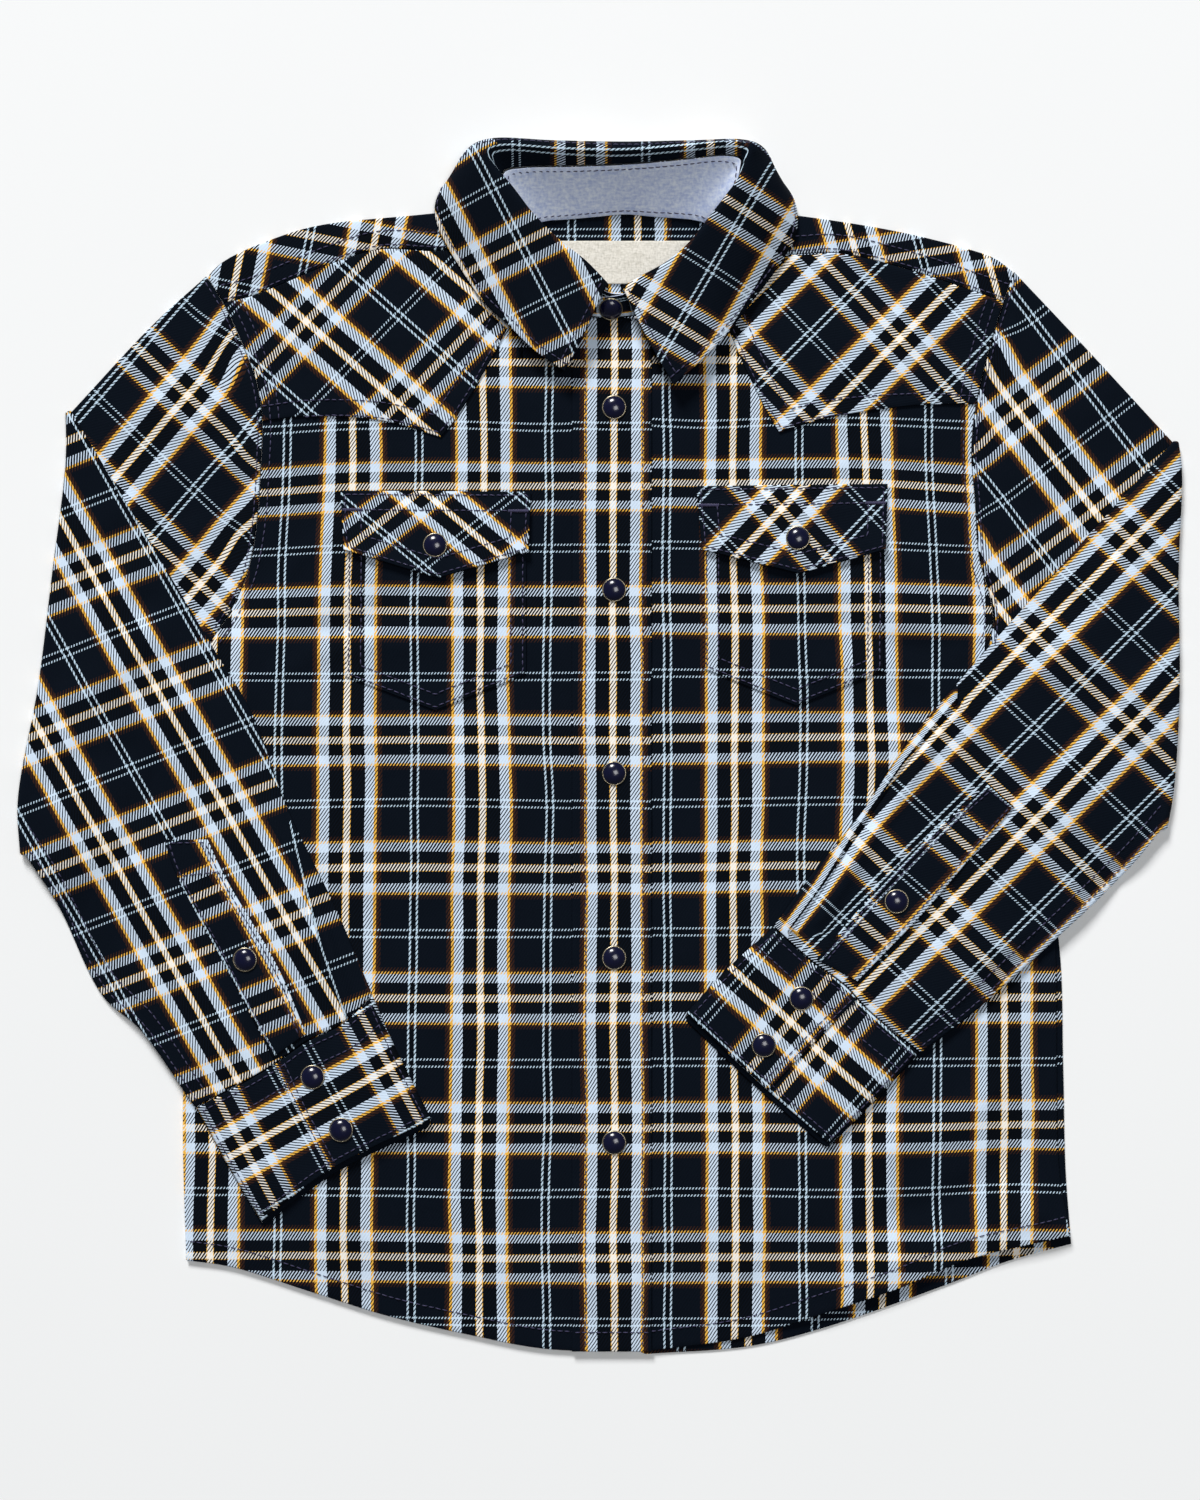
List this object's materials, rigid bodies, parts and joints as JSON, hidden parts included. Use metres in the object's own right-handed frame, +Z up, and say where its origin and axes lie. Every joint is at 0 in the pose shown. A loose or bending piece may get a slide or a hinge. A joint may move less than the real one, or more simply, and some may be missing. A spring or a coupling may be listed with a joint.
{
  "type": "western snap shirt",
  "caption": "Child's long-sleeved checked western shirt with pointed yokes, flapped chest pockets and domed snaps, laid flat with its sleeves folded over the front.",
  "frame": {"origin": "on the surface that the shirt lies on, on the centre front line, half way between the fold of the collar and the lowest point of the hem", "axes": "+X to the right and +Y towards the collar as seen from above, +Z up from the surface"},
  "size_m": [0.5114, 0.5309, 0.0224],
  "materials": {
    "check_twill": "matt cotton twill, navy-green ground checked in pale blue, cream and gold",
    "chambray": "matt plain-weave cotton, grey-blue with white flecks",
    "label_cloth": "matt woven cream tape",
    "snap_enamel": "glossy navy enamel dome in a thin pale brass rim"
  },
  "bodies": {
    "root": {"back": "check_twill", "back_yoke": "check_twill", "front_placket": "check_twill", "front_left": "check_twill", "yoke_left": "check_twill", "pocket_left": "check_twill", "flap_left": "check_twill", "sleeve_left": "check_twill", "sleeve_placket_left": "check_twill", "cuff_left": "check_twill", "front_right": "check_twill", "yoke_right": "check_twill", "pocket_right": "check_twill", "flap_right": "check_twill", "sleeve_right": "check_twill", "sleeve_placket_right": "check_twill", "cuff_right": "check_twill", "collar_stand": "chambray", "collar_leaf": "check_twill", "neck_label": "label_cloth", "snap_front_1": "snap_enamel", "snap_front_2": "snap_enamel", "snap_front_3": "snap_enamel", "snap_front_4": "snap_enamel", "snap_front_5": "snap_enamel", "snap_pocket_left": "snap_enamel", "snap_pocket_right": "snap_enamel", "snap_cuff_left_1": "snap_enamel", "snap_cuff_left_2": "snap_enamel", "snap_cuff_right_1": "snap_enamel", "snap_cuff_right_2": "snap_enamel", "snap_sleeve_left": "snap_enamel", "snap_sleeve_right": "snap_enamel", "snap_stand": "snap_enamel"}
  },
  "joints": []
}
